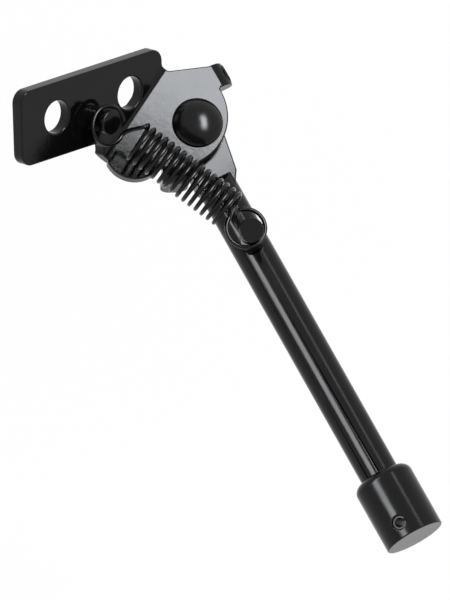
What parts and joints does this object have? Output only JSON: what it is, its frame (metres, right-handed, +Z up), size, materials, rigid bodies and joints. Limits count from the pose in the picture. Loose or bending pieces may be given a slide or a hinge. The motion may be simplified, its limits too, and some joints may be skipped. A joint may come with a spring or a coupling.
{
  "type": "scooter kickstand",
  "caption": "Spring-held side stand: bent steel bracket with bolt holes, a leg that swings on a domed rivet, and a foot cap",
  "frame": {"origin": "midway between the two bolt holes, on the face of the flange that bolts to the frame", "axes": "+X runs along the flange towards the pivot, +Y points out of the mounting face into the vehicle, +Z is up"},
  "size_m": [0.0799, 0.1112, 0.1405],
  "materials": {
    "plate_paint": "gloss black enamel with fine specks",
    "rod_paint": "gloss black enamel",
    "rivet_paint": "gloss black enamel",
    "washer_steel": "black enamel",
    "stud_paint": "gloss black enamel",
    "spring_wire": "black coated spring wire",
    "foot_paint": "gloss black enamel",
    "pin_steel": "black enamel"
  },
  "bodies": {
    "bracket": {"mount_bracket": "plate_paint", "pivot_rivet": "rivet_paint", "pivot_washer": "washer_steel", "bracket_spring_stud": "stud_paint", "spring": "spring_wire"},
    "leg": {"leg": "rod_paint", "leg_spring_stud": "stud_paint", "foot_cap": "foot_paint", "foot_pin": "pin_steel"}
  },
  "joints": [
    {"name": "leg_swing", "type": "hinge", "parent": "bracket", "child": "leg", "pos_m": [0.03063, -0.01701, -0.01046], "axis": [-0.4791, -0.6589, 0.5799], "range_deg": [0, 95], "deforming": ["spring"]}
  ]
}
